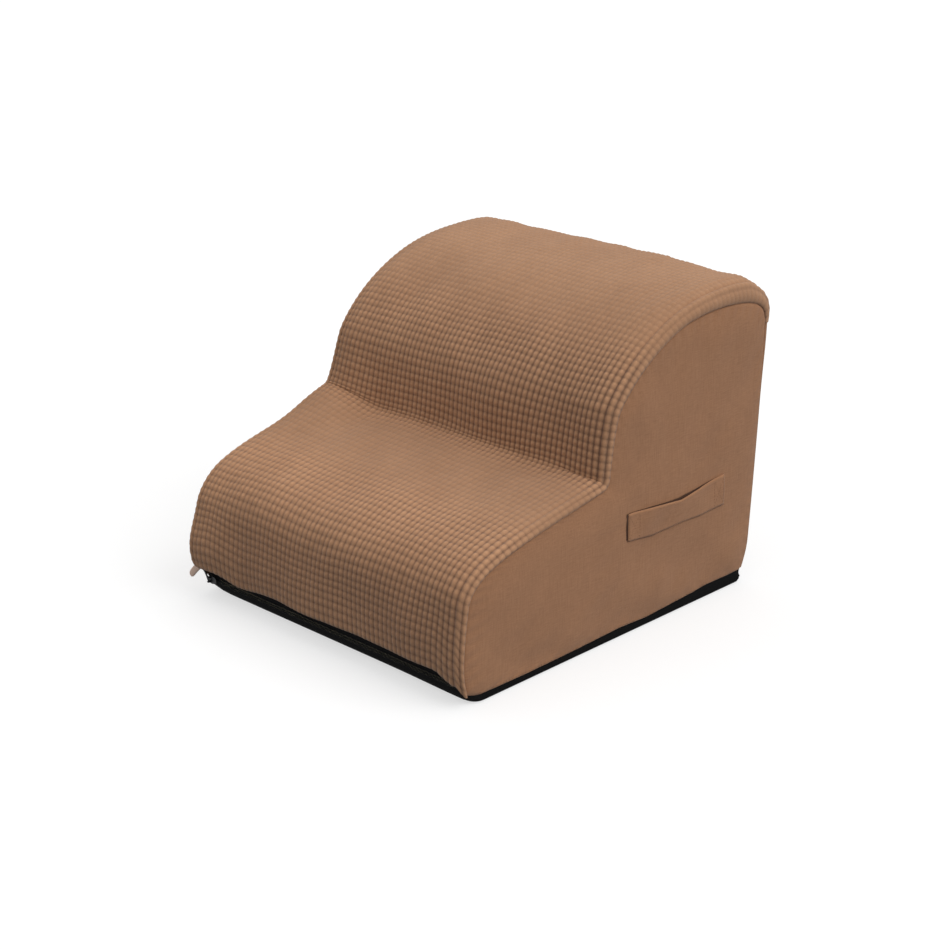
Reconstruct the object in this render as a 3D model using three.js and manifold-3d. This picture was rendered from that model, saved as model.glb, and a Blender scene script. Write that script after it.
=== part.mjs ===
// Two-step foam ramp for dogs: contour-cut foam in a zip-off fabric hood on an anti-slip base tray.
// Millimetres. While the pieces are made, X runs across the ramp, Y runs back from the front edge
// of the footprint and Z is height. placePart() then moves the origin to the bottom centre.
import * as THREE from 'three';
import { mergeVertices } from 'three/addons/utils/BufferGeometryUtils.js';
import Module from 'manifold-3d';

const wasm = await Module();
wasm.setup();
const { Manifold, Mesh: WasmMesh } = wasm;

// Overall size and layers
const HALF_WIDTH = 200;
const GAP = 0.3;
const FABRIC = 2.4;
const SIDE_INNER = HALF_WIDTH - FABRIC;
const STRIP_HALF = SIDE_INNER - GAP;
const LINING_DEPTH = 3.4;
const CAVITY_DEPTH = 11.6;
const FOAM_DEPTH = 12;
const TOPPER_THICKNESS = 20;
const FOAM_HALF = 195;
const FOAM_FRONT = -3;
const FOAM_BACK = 419;
const FOAM_BOTTOM = 2.9;
const TOPPER_FRONT_END = 96;
const RUNNING = 0.45;

// Hems and seams
const FRONT_HEM = 24.5;
const SIDE_HEM = 7;
const BACK_FOOT = 425;
const BACK_SEAM = 292;
const LINING_HEM = 31;
const SIDE_TOE = 2;

// Crown of the padded cloth between the side seams
const CROWN_LOW = 10;
const CROWN_HIGH = 18;
const FRONT_BELLY = 8;
const CROWN_STEPS = 12;

// Zip round the foot of the hood
const ZIP_HALF_X = 196.4;
const ZIP_FRONT = -6.7;
const ZIP_BACK = 421;
const ZIP_CORNER = 8;
const ZIP_Z = 18;
const COIL_HALF_GAP = 0.6;
const COIL_HEIGHT = 1.8;
const COIL_THICK = 1.9;
const TAPE_THICK = 0.8;
const TAPE_HEIGHT = 11;
const SLIDER_X = -181;
const SLIDER_LENGTH = 12;
const SLIDER_HEIGHT = 9.6;
const PULL_AXIS = { x: -185.4, y: -11.7 };
const PULL_LENGTH = 25;
const PULL_WIDTH = 7;
const PULL_THICK = 1.6;

// Base tray
const TRAY_WALL = 1.8;
const TRAY_FLOOR = 2.5;
const TRAY_HEIGHT = 12;

// Carry handles on the side panels
const HANDLE = { front: 219, back: 373, low: 104, high: 136, thick: 2.4, bow: 7, foot: 18 };

const MATERIALS = {
  waffle: { color: 0xae8767, roughness: 0.95 },
  linen: { color: 0x8e6a4f, roughness: 0.95 },
  lining: { color: 0xd8d2c6, roughness: 0.95 },
  foam: { color: 0xe9e2c9, roughness: 0.9 },
  softFoam: { color: 0xf3efe2, roughness: 0.9 },
  base: { color: 0x17161a, roughness: 0.85 },
  tape: { color: 0x121214, roughness: 0.9 },
  coil: { color: 0x1b1b1e, roughness: 0.5 },
  slider: { color: 0x202024, roughness: 0.4, metalness: 0.6 },
  pull: { color: 0xc2a392, roughness: 0.6 },
};

const part = new THREE.Group();
part.name = 'dog_ramp';

function add(name, geometry, material) {
  const mesh = new THREE.Mesh(geometry, new THREE.MeshStandardMaterial(MATERIALS[material]));
  mesh.name = name;
  part.add(mesh);
}

function smooth(value, from, to) {
  return THREE.MathUtils.smoothstep(value, from, to);
}

// Side profile at the seam, from the front hem over both steps to the top of the back edge.
function topLine() {
  const line = new THREE.Path();
  line.moveTo(-14.5, FRONT_HEM);
  line.bezierCurveTo(-19.5, 45, -13, 85, -10, 104);
  line.bezierCurveTo(-8, 117, 2, 127, 18, 134.5);
  line.bezierCurveTo(50, 149.5, 110, 158.5, 182, 172);
  line.quadraticCurveTo(188.5, 173.3, 189.5, 180);
  line.bezierCurveTo(192.5, 205, 196, 232, 203, 247);
  line.bezierCurveTo(216, 268, 255, 303, 305, 317.5);
  line.bezierCurveTo(335, 325.5, 380, 325, 409, 318);
  return line;
}

// Rounded back edge, leaning inwards from the top to the foot.
function backLine(foot) {
  const line = new THREE.Path();
  line.moveTo(409, 318);
  line.bezierCurveTo(425, 314, 435, 305, 435.5, BACK_SEAM);
  if (foot) line.lineTo(BACK_FOOT, foot);
  return line;
}

// Points of a line moved sideways by the given depth, inwards of the ramp.
function inset(line, depth) {
  const points = line.getPoints(6);
  return points.map((point, i) => {
    const before = points[Math.max(i - 1, 0)];
    const after = points[Math.min(i + 1, points.length - 1)];
    const along = after.clone().sub(before).normalize();
    return new THREE.Vector2(point.x + along.y * depth, point.y - along.x * depth);
  });
}

function joined(...runs) {
  return runs.flat().filter((point, i, all) => i === 0 || point.distanceTo(all[i - 1]) > 0.5);
}

// Cloth band between two depths below a run of the profile.
function band(lines, outer, inner) {
  const outside = joined(...lines.map((line) => inset(line, outer)));
  const inside = joined(...lines.map((line) => inset(line, inner)));
  return [...outside, ...inside.reverse()];
}

// Moves a point of the padded cloth and the foam to the crowned shape between the side seams.
function crowned(x, y, z) {
  const swell = 1 - Math.min(Math.abs(x) / STRIP_HALF, 1) ** 4;
  const high = CROWN_LOW + (CROWN_HIGH - CROWN_LOW) * smooth(y, 150, 350);
  const ahead = THREE.MathUtils.clamp((FOAM_FRONT - y) / 8, 0, 1);
  return {
    y: y - swell * ahead * FRONT_BELLY * (0.3 + 0.7 * smooth(z, FRONT_HEM, 50)),
    z: z + swell * high * smooth(z, 40, 112),
  };
}

// A profile outline (y, z) drawn out along X and crowned.
function across(outline, halfWidth) {
  const shape = new THREE.Shape(outline);
  const depth = 2 * halfWidth;
  const geometry = new THREE.ExtrudeGeometry(shape, { depth, steps: CROWN_STEPS, bevelEnabled: false });
  const position = geometry.attributes.position;
  for (let i = 0; i < position.count; i += 1) {
    const x = position.getZ(i) - halfWidth;
    const moved = crowned(x, position.getX(i), position.getY(i));
    position.setXYZ(i, x, moved.y, moved.z);
  }
  return geometry;
}

// A flat profile plate (y, z) lying between two X planes.
function plate(outline, x0, x1) {
  const shape = new THREE.Shape(outline);
  const geometry = new THREE.ExtrudeGeometry(shape, { depth: x1 - x0, bevelEnabled: false });
  geometry.applyMatrix4(new THREE.Matrix4().set(0, 0, 1, x0, 1, 0, 0, 0, 0, 1, 0, 0, 0, 0, 0, 1));
  return geometry;
}

function box(x0, x1, y0, y1, z0, z1) {
  const geometry = new THREE.BoxGeometry(x1 - x0, y1 - y0, z1 - z0);
  geometry.translate((x0 + x1) / 2, (y0 + y1) / 2, (z0 + z1) / 2);
  return geometry;
}

// Plan outline with round corners, in X and Y.
function plan(halfX, front, back, radius) {
  const shape = new THREE.Shape();
  shape.moveTo(-halfX + radius, front);
  shape.lineTo(halfX - radius, front);
  shape.absarc(halfX - radius, front + radius, radius, -Math.PI / 2, 0);
  shape.lineTo(halfX, back - radius);
  shape.absarc(halfX - radius, back - radius, radius, 0, Math.PI / 2);
  shape.lineTo(-halfX + radius, back);
  shape.absarc(-halfX + radius, back - radius, radius, Math.PI / 2, Math.PI);
  shape.lineTo(-halfX, front + radius);
  shape.absarc(-halfX + radius, front + radius, radius, Math.PI, 1.5 * Math.PI);
  return shape;
}

function prism(shape, z0, z1, curveSegments = 8) {
  const options = { depth: z1 - z0, bevelEnabled: false, curveSegments };
  const geometry = new THREE.ExtrudeGeometry(shape, options);
  geometry.translate(0, 0, z0);
  return geometry;
}

// Upright ring of cloth or coil that follows the zip round the foot.
function zipRing(thick, z0, z1) {
  const half = thick / 2;
  const outer = plan(ZIP_HALF_X + half, ZIP_FRONT - half, ZIP_BACK + half, ZIP_CORNER + half);
  const inner = plan(ZIP_HALF_X - half, ZIP_FRONT + half, ZIP_BACK - half, ZIP_CORNER - half);
  outer.holes.push(inner);
  return prism(outer, z0, z1, 5);
}

function solid(geometry) {
  const bare = geometry.clone();
  bare.deleteAttribute('normal');
  bare.deleteAttribute('uv');
  const merged = mergeVertices(bare, 1e-4);
  const vertProperties = new Float32Array(merged.attributes.position.array);
  const triVerts = new Uint32Array(merged.index.array);
  return new Manifold(new WasmMesh({ numProp: 3, vertProperties, triVerts }));
}

function surface(manifold) {
  const mesh = manifold.getMesh();
  const geometry = new THREE.BufferGeometry();
  geometry.setAttribute('position', new THREE.BufferAttribute(mesh.vertProperties, 3));
  geometry.setIndex(new THREE.BufferAttribute(mesh.triVerts, 1));
  geometry.computeVertexNormals();
  return geometry;
}

// Outline of the foam below the cloth, with upright front and back walls.
function foamOutline(depth, front, back, bottom) {
  const top = joined(inset(topLine(), depth));
  const last = top[top.length - 1];
  const nose = top.filter((point) => point.y > 60);
  return [
    new THREE.Vector2(front, bottom),
    new THREE.Vector2(Math.min(front, nose[0].x), 55),
    ...nose,
    new THREE.Vector2(back, last.y - 0.28 * (back - last.x)),
    new THREE.Vector2(back, bottom),
  ];
}

function foamBlock(depth, halfX, grow, bottom) {
  const front = FOAM_FRONT - grow;
  const back = FOAM_BACK + grow;
  const block = solid(across(foamOutline(depth, front, back, bottom), halfX));
  return block.intersect(solid(prism(plan(halfX, front, back, ZIP_CORNER - grow), -5, 400)));
}

// Foam: a firm contour-cut core and a soft topper glued along its steps.
function buildFoam() {
  const whole = foamBlock(FOAM_DEPTH, FOAM_HALF, 0, FOAM_BOTTOM);
  const trayRoom = solid(box(-300, 300, -50, 500, -10, TRAY_HEIGHT + GAP));
  const inTray = solid(prism(plan(193.5, FOAM_FRONT, 418.1, 10), FOAM_BOTTOM, TRAY_HEIGHT + 1));
  const shaped = whole.subtract(trayRoom).add(whole.intersect(inTray));
  const below = foamOutline(FOAM_DEPTH + TOPPER_THICKNESS, -60, 480, -20);
  const under = foamOutline(FOAM_DEPTH + TOPPER_THICKNESS + GAP, -60, 480, -20);
  const high = solid(box(-300, 300, -60, 500, TOPPER_FRONT_END, 420));
  const higher = solid(box(-300, 300, -60, 500, TOPPER_FRONT_END - GAP, 420));
  const topper = shaped.subtract(solid(across(below, 220))).intersect(high);
  const cut = higher.subtract(solid(across(under, 220)));
  add('foam_core', surface(shaped.subtract(cut)), 'foam');
  add('foam_topper', surface(topper), 'softFoam');
}

// Padded lining hood: thick under the walking surface, thin along the sides.
function buildLining() {
  const outline = joined(inset(topLine(), LINING_DEPTH), inset(backLine(LINING_HEM), LINING_DEPTH));
  const outside = solid(across(outline, STRIP_HALF));
  const cavity = foamBlock(CAVITY_DEPTH, FOAM_HALF + RUNNING, RUNNING, -20);
  const skirt = solid(box(-300, 300, -100, 500, -50, LINING_HEM));
  add('cover_lining', surface(outside.subtract(cavity).subtract(skirt)), 'lining');
}

// Outer cloth: waffle strip, back panel and the two side panels.
function buildCloth() {
  add('top_strip', across(band([topLine(), backLine()], 0, FABRIC), STRIP_HALF), 'waffle');
  const back = new THREE.Path();
  back.moveTo(435.5, BACK_SEAM - 2 * GAP);
  back.lineTo(BACK_FOOT, SIDE_HEM);
  add('back_panel', across(band([back], 0, FABRIC), STRIP_HALF), 'linen');
  const upper = inset(topLine(), 0).filter((point) => point.y >= LINING_HEM);
  const side = joined(upper, inset(backLine(SIDE_HEM), 0), [new THREE.Vector2(SIDE_TOE, SIDE_HEM)]);
  add('side_panel_left', plate(side, -HALF_WIDTH, -SIDE_INNER), 'linen');
  add('side_panel_right', plate(side, SIDE_INNER, HALF_WIDTH), 'linen');
}

// Raised double-stitched seams along both edges of the strip.
function buildSeams() {
  const ridge = band([topLine(), backLine(SIDE_HEM)], -2.8, -2 * GAP);
  add('seam_ridge_left', plate(ridge, -HALF_WIDTH - 1.2, -HALF_WIDTH + 3.4), 'linen');
  add('seam_ridge_right', plate(ridge, HALF_WIDTH - 3.4, HALF_WIDTH + 1.2), 'linen');
}

// Carry handle: a strap with two sewn feet and a bow away from the side panel between them.
function handleStrap(side) {
  const face = HALF_WIDTH + GAP;
  const middle = (HANDLE.front + HANDLE.back) / 2;
  const line = (offset) => [
    new THREE.Vector2(HANDLE.front, face + offset),
    new THREE.Vector2(HANDLE.front + HANDLE.foot, face + offset),
    ...new THREE.QuadraticBezierCurve(
      new THREE.Vector2(HANDLE.front + HANDLE.foot + 6, face + offset + 1.5),
      new THREE.Vector2(middle, face + offset + 2 * HANDLE.bow - 1.5),
      new THREE.Vector2(HANDLE.back - HANDLE.foot - 6, face + offset + 1.5),
    ).getPoints(10),
    new THREE.Vector2(HANDLE.back - HANDLE.foot, face + offset),
    new THREE.Vector2(HANDLE.back, face + offset),
  ];
  const outline = [...line(0), ...line(HANDLE.thick).reverse()];
  const shape = new THREE.Shape(outline.map((point) => new THREE.Vector2(side * point.y, point.x)));
  return prism(shape, HANDLE.low, HANDLE.high);
}

// Black tray that the foam stands in, with a rounded lower edge.
function buildTray() {
  const level = (halfX, front, back, radius, z) => {
    return solid(prism(plan(halfX, front, back, radius), z, z + 0.2));
  };
  const outside = Manifold.hull([
    level(191, 0, 416, 22, 0),
    level(194, -3, 418.6, 20, 2.4),
    level(195.7, -6, 420.3, 12, 7.5),
    level(195.7, -6, 420.3, 12, TRAY_HEIGHT - 0.2),
  ]);
  const inside = prism(plan(195.7 - TRAY_WALL, -6 + TRAY_WALL, 420.3 - TRAY_WALL, 10), TRAY_FLOOR, 40);
  add('base_tray', surface(outside.subtract(solid(inside))), 'base');
}

// Zip tapes and coils: the lower ones on the tray, the upper ones on the hood.
function buildZip() {
  const stopRoom = solid(box(-190.6, -187.3, -12, 0, 0, 40));
  const opened = (thick, z0, z1) => surface(solid(zipRing(thick, z0, z1)).subtract(stopRoom));
  const coil = COIL_HALF_GAP + COIL_HEIGHT;
  const tape = coil + 0.2;
  add('zip_tape_lower', opened(TAPE_THICK, ZIP_Z - tape - TAPE_HEIGHT + 1.5, ZIP_Z - tape), 'tape');
  add('zip_tape_upper', opened(TAPE_THICK, ZIP_Z + tape, ZIP_Z + tape + TAPE_HEIGHT - 1.5), 'tape');
  add('zip_coil_lower', opened(COIL_THICK, ZIP_Z - coil, ZIP_Z - COIL_HALF_GAP), 'coil');
  add('zip_coil_upper', opened(COIL_THICK, ZIP_Z + COIL_HALF_GAP, ZIP_Z + coil), 'coil');
  add('zip_stop', box(-190.2, -187.7, ZIP_FRONT - 1.3, ZIP_FRONT + 1.3, 13, ZIP_Z + 0.3), 'slider');
}

// Slider: two plates round the coils, a thin bridge between them, and ears with the pull's pin.
function buildSlider() {
  const x0 = SLIDER_X - SLIDER_LENGTH / 2;
  const x1 = SLIDER_X + SLIDER_LENGTH / 2;
  const z0 = ZIP_Z - SLIDER_HEIGHT / 2;
  const z1 = ZIP_Z + SLIDER_HEIGHT / 2;
  const pin = new THREE.CylinderGeometry(0.8, 0.8, 4.4, 16);
  pin.rotateX(Math.PI / 2);
  pin.translate(PULL_AXIS.x, PULL_AXIS.y, ZIP_Z);
  const pieces = [
    box(x0, x1, -9.4, -8.2, z0, z1),
    box(x0, x1, -5.3, -4.1, z0, z1),
    box(x0, x0 + 2.5, -8.3, -5.2, ZIP_Z - 0.3, ZIP_Z + 0.3),
    box(x0, x1, -8.3, -7.4, z0, z0 + 0.9),
    box(x0, x1, -6, -5.2, z0, z0 + 0.9),
    box(PULL_AXIS.x - 1.6, PULL_AXIS.x + 1.6, -13, -9.3, ZIP_Z - 3.2, ZIP_Z - 2.0),
    box(PULL_AXIS.x - 1.6, PULL_AXIS.x + 1.6, -13, -9.3, ZIP_Z + 2.0, ZIP_Z + 3.2),
    pin,
  ];
  const slider = pieces.map(solid).reduce((whole, piece) => whole.add(piece));
  add('zip_slider', surface(slider), 'slider');
}

// Pull: an eye round the slider's pin and a flat tab with round corners.
function buildPull() {
  const eye = new THREE.CylinderGeometry(1.9, 1.9, 3.2, 20);
  const bore = new THREE.CylinderGeometry(1.15, 1.15, 6, 20);
  for (const round of [eye, bore]) {
    round.rotateX(Math.PI / 2);
    round.translate(PULL_AXIS.x, PULL_AXIS.y, ZIP_Z);
  }
  const y0 = PULL_AXIS.y - PULL_THICK / 2;
  const y1 = PULL_AXIS.y + PULL_THICK / 2;
  const neck = box(PULL_AXIS.x - 5, PULL_AXIS.x - 1.4, y0, y1, ZIP_Z - 1.6, ZIP_Z + 1.6);
  const tab = prism(plan(PULL_WIDTH / 2, PULL_AXIS.x - PULL_LENGTH, PULL_AXIS.x - 4, 2), y0, y1);
  tab.applyMatrix4(new THREE.Matrix4().set(0, 1, 0, 0, 0, 0, 1, 0, 1, 0, 0, ZIP_Z, 0, 0, 0, 1));
  const pull = solid(eye).add(solid(neck)).add(solid(tab)).subtract(solid(bore));
  add('zip_pull', surface(pull), 'pull');
}

function placePart() {
  const bounds = new THREE.Box3().setFromObject(part);
  const middle = (bounds.min.y + bounds.max.y) / 2;
  for (const mesh of part.children) mesh.geometry.translate(0, -middle, 0);
}

buildFoam();
buildLining();
buildCloth();
buildSeams();
add('handle_left', handleStrap(-1), 'linen');
add('handle_right', handleStrap(1), 'linen');
buildTray();
buildZip();
buildSlider();
buildPull();
placePart();

export default part;
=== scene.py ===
import math

import bpy
import numpy as np
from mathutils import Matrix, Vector


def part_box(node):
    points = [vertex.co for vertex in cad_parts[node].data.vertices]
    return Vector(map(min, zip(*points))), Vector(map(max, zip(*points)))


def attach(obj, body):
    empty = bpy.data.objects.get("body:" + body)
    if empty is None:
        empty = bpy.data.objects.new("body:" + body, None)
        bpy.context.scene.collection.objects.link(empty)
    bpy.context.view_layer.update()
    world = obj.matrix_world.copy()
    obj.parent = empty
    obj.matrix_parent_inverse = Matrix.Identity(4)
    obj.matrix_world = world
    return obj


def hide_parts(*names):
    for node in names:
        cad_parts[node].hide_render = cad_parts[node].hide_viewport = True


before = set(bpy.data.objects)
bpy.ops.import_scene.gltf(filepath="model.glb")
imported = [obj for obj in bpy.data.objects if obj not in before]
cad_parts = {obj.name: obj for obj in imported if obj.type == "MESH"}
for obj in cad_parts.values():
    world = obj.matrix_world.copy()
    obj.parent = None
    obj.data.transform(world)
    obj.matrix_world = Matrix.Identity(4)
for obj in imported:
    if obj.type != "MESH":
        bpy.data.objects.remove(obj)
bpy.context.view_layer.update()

# Lengths are in metres
MM = 0.001

# Where the frame puts the object
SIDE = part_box("side_panel_right")[1].x
FRONT_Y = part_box("base_tray")[0].y + 6 * MM

# Waffle cloth; arc lengths run along the profile from the foot
CELL_X = 6.7 * MM
CELLS_ACROSS = 57
WAFFLE_DEPTH = 1.8 * MM
STRIP_HALF = CELLS_ACROSS * CELL_X / 2
EDGE_HALF = 197.5 * MM
# Pitch of the weave's rows, which the cover's stretch changes: (arc length, pitch)
ROW_PITCH = np.array([
    (0, 8.9), (85, 8.9), (120, 6.8), (150, 8.3), (290, 8.3),
    (310, 7.7), (400, 7.4), (480, 7.1), (655, 7.1),
]) * MM
# Arc lengths between which each zone of the strip fades in and then out
TREAD_ZONE = np.array([150, 215, 258, 288]) * MM
RISER_ZONE = np.array([290, 305, 395, 470]) * MM
TOP_ZONE = np.array([395, 480, 615, 650]) * MM

# Seams
RIDGE_START = STRIP_HALF
RIDGE_END = SIDE + 0.2 * MM
RIDGE_DROP = 3.2 * MM
BEAD = 1.5 * MM
BACK_HEM = 6.5 * MM

# Side profile (y, z) in millimetres from the foot's front edge, as cubic Bezier pieces
PROFILE = [
    ((-14.5, 24.5), (-19.5, 45), (-13, 85), (-10, 104)),
    ((-10, 104), (-8, 117), (2, 127), (18, 134.5)),
    ((18, 134.5), (50, 149.5), (110, 158.5), (182, 172)),
    ((182, 172), (186.3, 172.9), (188.8, 175.5), (189.5, 180)),
    ((189.5, 180), (192.5, 205), (196, 232), (203, 247)),
    ((203, 247), (216, 268), (255, 303), (305, 317.5)),
    ((305, 317.5), (335, 325.5), (380, 326), (409, 320)),
    ((409, 320), (430, 315), (441.5, 308), (441, 288)),
]
BACK = [
    ((441, 288), (440.8, 240), (434, 120), (428.5, 47)),
    ((428.5, 47), (427.2, 32), (421, 20), (416, 9)),
]
# Crown of the padded cloth above the seams, and its rounding's width, at the ends of the pieces
CROWN = [3, 7, 9, 8, 9, 13, 17, 23.5, 11]
SHOULDER = [22, 24, 24, 24, 24, 30, 31, 20, 16]
EDGE_POWER = 2.2
# Points on each piece, and on a whole line once it is read by arc length
PIECE_POINTS = 120
LINE_POINTS = 1800

# Quilting of the lining
QUILT_PITCH = 50 * MM

# Camera and light
CAMERA_SPOT = Vector((1.4446, FRONT_Y - 1.2731, 0.9119))
CAMERA_AZIMUTH, CAMERA_ELEVATION = math.radians(44.31), math.radians(20.77)
LENS = 78.8
LAMP_DIRECTION = Vector((0.73, 0.22, 0.645))
FLOOR_REACH = 30


# The profile and the cloth over it


def arc_lengths(points):
    """Length of a run of points up to each of them."""
    return np.concatenate([[0], np.cumsum(np.linalg.norm(np.diff(points, axis=0), axis=1))])


def unit(vectors):
    """The vectors with a length of 1."""
    return vectors / np.linalg.norm(vectors, axis=-1, keepdims=True)


def bezier(piece):
    p = np.array(piece, float) * MM
    t = np.linspace(0, 1, PIECE_POINTS)[:, None]
    u = 1 - t
    return u**3 * p[0] + 3 * u * u * t * p[1] + 3 * u * t * t * p[2] + t**3 * p[3]


class Line:
    """A run of the profile that is read by its arc length."""

    def __init__(self, pieces):
        runs = [bezier(piece) for piece in pieces]
        points = np.vstack([runs[0]] + [run[1:] for run in runs[1:]])
        arc = arc_lengths(points)
        self.length = arc[-1]
        self.joints = arc[:: PIECE_POINTS - 1]
        self.arc = np.linspace(0, self.length, LINE_POINTS)
        self.points = np.column_stack([np.interp(self.arc, arc, points[:, k]) for k in (0, 1)])

    def normals(self):
        along = unit(np.gradient(self.points, axis=0))
        return np.column_stack([-along[:, 1], along[:, 0]])

    def softer(self, sigma, share=1.0, lift=0.0):
        """A copy with a share of its corners rounded, pushed out by lift."""
        copy = object.__new__(Line)
        copy.length, copy.joints, copy.arc = self.length, self.joints, self.arc
        soft = smoothed(self.points, sigma / (self.arc[1] - self.arc[0]))
        copy.points = self.points + np.reshape(share, (-1, 1)) * (soft - self.points)
        copy.points = copy.points + copy.normals() * np.reshape(lift, (-1, 1))
        return copy

    def at(self, s):
        """Points (y, z) and outward normals at the arc lengths s."""
        ny, nz = (np.interp(s, self.arc, v) for v in self.normals().T)
        y, z = (np.interp(s, self.arc, v) for v in self.points.T)
        spare = np.minimum(s, 0) + np.maximum(s - self.length, 0)
        size = np.hypot(ny, nz)
        ny, nz = ny / size, nz / size
        return y + nz * spare, z - ny * spare, ny, nz


def smoothed(points, sigma):
    """A run of points with its corners rounded; sigma is in steps."""
    reach = int(3 * sigma)
    kernel = np.exp(-0.5 * (np.arange(-reach, reach + 1) / sigma) ** 2)
    kernel /= kernel.sum()
    ahead = points[0] + (points[0] - points[1]) * np.arange(reach, 0, -1)[:, None]
    behind = points[-1] + (points[-1] - points[-2]) * np.arange(1, reach + 1)[:, None]
    long = np.vstack([ahead, points, behind])
    return np.column_stack([np.convolve(long[:, k], kernel, "valid") for k in (0, 1)])


def ripple(a, b, seed, wave, count=10):
    """Smooth waviness of about unit size over two lengths in metres."""
    rng = np.random.default_rng(seed)
    total = 0
    for _ in range(count):
        angle, phase = rng.uniform(0, math.tau, 2)
        k = math.tau / (wave * rng.uniform(0.7, 1.6))
        total = total + np.sin(k * (a * math.cos(angle) + b * math.sin(angle)) + phase)
    return total * math.sqrt(2 / count)


def smoothstep(v, low, high):
    """0 up to low and 1 from high on."""
    t = np.clip((v - low) / (high - low), 0, 1)
    return t * t * (3 - 2 * t)


def bump(v, middle, width):
    return np.exp(-(((v - middle) / width) ** 2))


TOP = Line(PROFILE)
REAR = Line(BACK)
CREASE = TOP.joints[3]


def loosened(line):
    """The left side: the cloth bridges the crease and bellies out above the hem."""
    bulges = (
        (16.5, CREASE - 10 * MM, 52 * MM),
        (2.2, CREASE - 110 * MM, 50 * MM),
        (7, 34 * MM, 28 * MM),
        (-2.4, 95 * MM, 22 * MM),
        (1.5, CREASE + 125 * MM, 55 * MM),
    )
    lift = sum(height * MM * bump(line.arc, middle, width) for height, middle, width in bulges)
    return line.softer(14 * MM, bump(line.arc, CREASE, 70 * MM), lift)


WHOLE = Line(PROFILE + BACK)
SEAM_LINE = {1: WHOLE, -1: loosened(WHOLE)}
CLOTH_LINES = (TOP, TOP.softer(10 * MM, 1 - bump(TOP.arc, 0, 20 * MM)), loosened(TOP))


def crown(x, s):
    """Height of the padded cloth above the seam profile."""
    height = np.interp(s, TOP.joints, CROWN) * MM
    radius = np.interp(s, TOP.joints, SHOULDER) * MM
    over = np.clip((np.abs(x) - (EDGE_HALF - radius)) / radius, 0, 1)
    edge = (1 - over**EDGE_POWER) ** (1 / EDGE_POWER)
    return height * (0.87 * edge + 0.13 * (1 - np.clip(np.abs(x) / EDGE_HALF, 0, 1) ** 2))


def front_hem(x):
    """How far the front hem stops short of the profile's start."""
    corner = 10 * smoothstep(x, 165 * MM, 191 * MM) + 13 * smoothstep(x, 193 * MM, 201 * MM)
    left = 2.8 * bump(-x, 170 * MM, 20 * MM) - 5 * bump(-x, 120 * MM, 27 * MM)
    left = left + 5.5 * smoothstep(-x, 190 * MM, 199 * MM)
    return (9.5 - corner + left) * MM


def cloth_base(x, s):
    """The profile under the cloth: exact on the right seam, soft elsewhere."""
    right = smoothstep(x, 120 * MM, 188 * MM)
    left = smoothstep(-x, 110 * MM, 190 * MM)
    shares = (right, 1 - right - left, left)
    parts = zip(*(line.at(s) for line in CLOTH_LINES))
    y, z, ny, nz = (sum(share * value for share, value in zip(shares, part)) for part in parts)
    size = np.hypot(ny, nz)
    return y, z, ny / size, nz / size


def cloth(x, s):
    """Points of the padded cloth surface without its weave."""
    y, z, ny, nz = cloth_base(x, s)
    calm = 1 - smoothstep(np.abs(x), 150 * MM, 195 * MM)
    lift = crown(x, s) + calm * (0.8 * ripple(x, s, 3, 0.12) + 0.3 * ripple(x, s, 4, 0.045)) * MM
    return y + ny * lift, z + nz * lift


def rows_before():
    """Rows of the weave before each point of the top line, scaled to a whole number at its end."""
    each = TOP.arc[1] / np.interp(TOP.arc, *ROW_PITCH.T)
    before = np.cumsum(each) - each[0]
    return before * round(before[-1]) / before[-1]


ROWS_BEFORE = rows_before()
ROWS = int(round(ROWS_BEFORE[-1]))


def zone(s, edges):
    """1 inside a zone and 0 outside it."""
    return smoothstep(s, edges[0], edges[1]) - smoothstep(s, edges[2], edges[3])


def pressed(s):
    """1 where the cloth is trodden flat, on the tread and on the top, and 0 elsewhere."""
    return 0.8 * zone(s, TREAD_ZONE) + zone(s, TOP_ZONE)


def woven_length(x0, s0):
    """Where a row of the weave lies along the profile: rows wander a little and follow the hem."""
    wander = smoothstep(s0, 0, 30 * MM) * smoothstep(TOP.length - s0, 0, 30 * MM)
    s = s0 + wander * MM * ripple(x0, s0, 12, 0.13)
    return s + front_hem(x0) * (1 - smoothstep(s0, 0, 120 * MM))


# Meshes from arrays


def make_object(name, points, faces, uv=None, smooth=True):
    """An object from an array of points; uv has a row for each of them."""
    mesh = bpy.data.meshes.new(name)
    mesh.from_pydata(np.reshape(points, (-1, 3)).tolist(), [], faces)
    if uv is not None:
        layer = mesh.uv_layers.new(name="weave")
        corner = np.zeros(len(mesh.loops), np.int32)
        mesh.loops.foreach_get("vertex_index", corner)
        layer.data.foreach_set("uv", uv.reshape(-1, 2)[corner].astype(np.float32).ravel())
    if smooth:
        mesh.shade_smooth()
    mesh.update()
    return linked(bpy.data.objects.new(name, mesh))


def linked(obj):
    bpy.context.scene.collection.objects.link(obj)
    return obj


def grid_faces(rows, columns, flip=False, closed=False):
    """Quads between rows of points; closed joins the last column to the first."""
    i = np.arange(rows - 1)[:, None]
    j = np.arange(columns if closed else columns - 1)[None, :]
    k = (j + 1) % columns
    corners = (i * columns + j, i * columns + k, (i + 1) * columns + k, (i + 1) * columns + j)
    quads = np.stack(corners, -1).reshape(-1, 4)
    return (quads[:, ::-1] if flip else quads).tolist()


def tube_faces(rows, around, flip=False):
    """Faces of a tube of closed rings with a cap at each end."""
    caps = [tuple(range(around))[::-1], tuple(range((rows - 1) * around, rows * around))]
    faces = grid_faces(rows, around, closed=True) + caps
    return [face[::-1] for face in faces] if flip else faces


def joined(pieces):
    """The points and faces of several pieces of mesh as one."""
    points, faces = [], []
    for some, links in pieces:
        faces += [tuple(len(points) + i for i in face) for face in links]
        points += list(some)
    return points, faces


def grid_object(name, points, uv=None, flip=False):
    return make_object(name, points, grid_faces(*points.shape[:2], flip), uv)


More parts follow.
